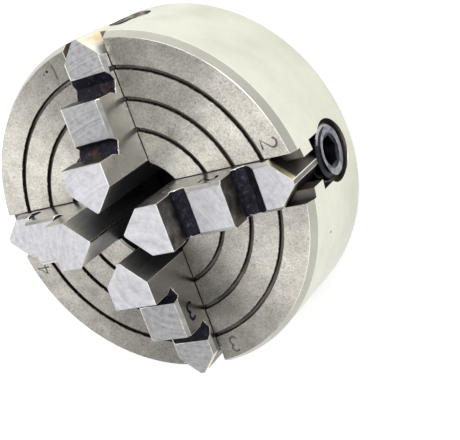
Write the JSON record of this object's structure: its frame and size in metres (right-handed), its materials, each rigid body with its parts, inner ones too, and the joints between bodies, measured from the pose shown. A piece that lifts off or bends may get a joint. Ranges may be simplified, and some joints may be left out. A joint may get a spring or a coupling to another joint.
{
  "type": "four-jaw lathe chuck",
  "caption": "Independent-jaw lathe chuck: a steel disc with radial slots, stepped reversible jaws and a screw with a hex socket behind each jaw.",
  "frame": {"origin": "centre of the back face, in the mouth of the register recess", "axes": "+Z along the spindle axis towards the work, +X along jaw 2, +Y along jaw 1"},
  "size_m": [0.08, 0.0802, 0.044],
  "materials": {
    "chuck_steel": "fine-turned and ground, lightly oiled",
    "jaw_steel": "surface-ground, with black scale left in the relief corners",
    "black_oxide_steel": "black oxide, worn bright on the rim of the head",
    "block_steel": "machined, hardened",
    "pin_steel": "ground dowel"
  },
  "bodies": {
    "body": {"chuck_body": "chuck_steel", "thrust_block_1": "block_steel", "thrust_block_2": "block_steel", "thrust_block_3": "block_steel", "thrust_block_4": "block_steel", "thrust_pin_1": "pin_steel", "thrust_pin_2": "pin_steel", "thrust_pin_3": "pin_steel", "thrust_pin_4": "pin_steel"},
    "jaw_1": {"jaw_1": "jaw_steel"},
    "jaw_2": {"jaw_2": "jaw_steel"},
    "jaw_3": {"jaw_3": "jaw_steel"},
    "jaw_4": {"jaw_4": "jaw_steel"},
    "screw_1": {"adjusting_screw_1": "black_oxide_steel"},
    "screw_2": {"adjusting_screw_2": "black_oxide_steel"},
    "screw_3": {"adjusting_screw_3": "black_oxide_steel"},
    "screw_4": {"adjusting_screw_4": "black_oxide_steel"}
  },
  "joints": [
    {"name": "jaw_1_slide", "type": "slide", "parent": "body", "child": "jaw_1", "axis": [0, 1, 0], "range_m": [-0.00526, 0.01014]},
    {"name": "jaw_2_slide", "type": "slide", "parent": "body", "child": "jaw_2", "axis": [1, 0, 0], "range_m": [-0.00359, 0.01181]},
    {"name": "jaw_3_slide", "type": "slide", "parent": "body", "child": "jaw_3", "axis": [0, -1, 0], "range_m": [-0.0052, 0.0102]},
    {"name": "jaw_4_slide", "type": "slide", "parent": "body", "child": "jaw_4", "axis": [-1, 0, 0], "range_m": [-0.00443, 0.01097]},
    {"name": "screw_1_turn", "type": "hinge", "parent": "body", "child": "screw_1", "pos_m": [0, 0.0393, 0.011], "axis": [0, 1, 0], "range_deg": [-948.8, 1827.2]},
    {"name": "screw_2_turn", "type": "hinge", "parent": "body", "child": "screw_2", "pos_m": [0.0393, 0, 0.011], "axis": [1, 0, 0], "range_deg": [-648.2, 2127.8]},
    {"name": "screw_3_turn", "type": "hinge", "parent": "body", "child": "screw_3", "pos_m": [0, -0.0393, 0.011], "axis": [0, -1, 0], "range_deg": [-938, 1838]},
    {"name": "screw_4_turn", "type": "hinge", "parent": "body", "child": "screw_4", "pos_m": [-0.0393, 0, 0.011], "axis": [-1, 0, 0], "range_deg": [-799.4, 1976.6]}
  ],
  "couplings": [
    {"joint": "screw_1_turn", "follows": "jaw_1_slide", "rad_per_m": 3141.6},
    {"joint": "screw_2_turn", "follows": "jaw_2_slide", "rad_per_m": 3141.6},
    {"joint": "screw_3_turn", "follows": "jaw_3_slide", "rad_per_m": 3141.6},
    {"joint": "screw_4_turn", "follows": "jaw_4_slide", "rad_per_m": 3141.6}
  ]
}
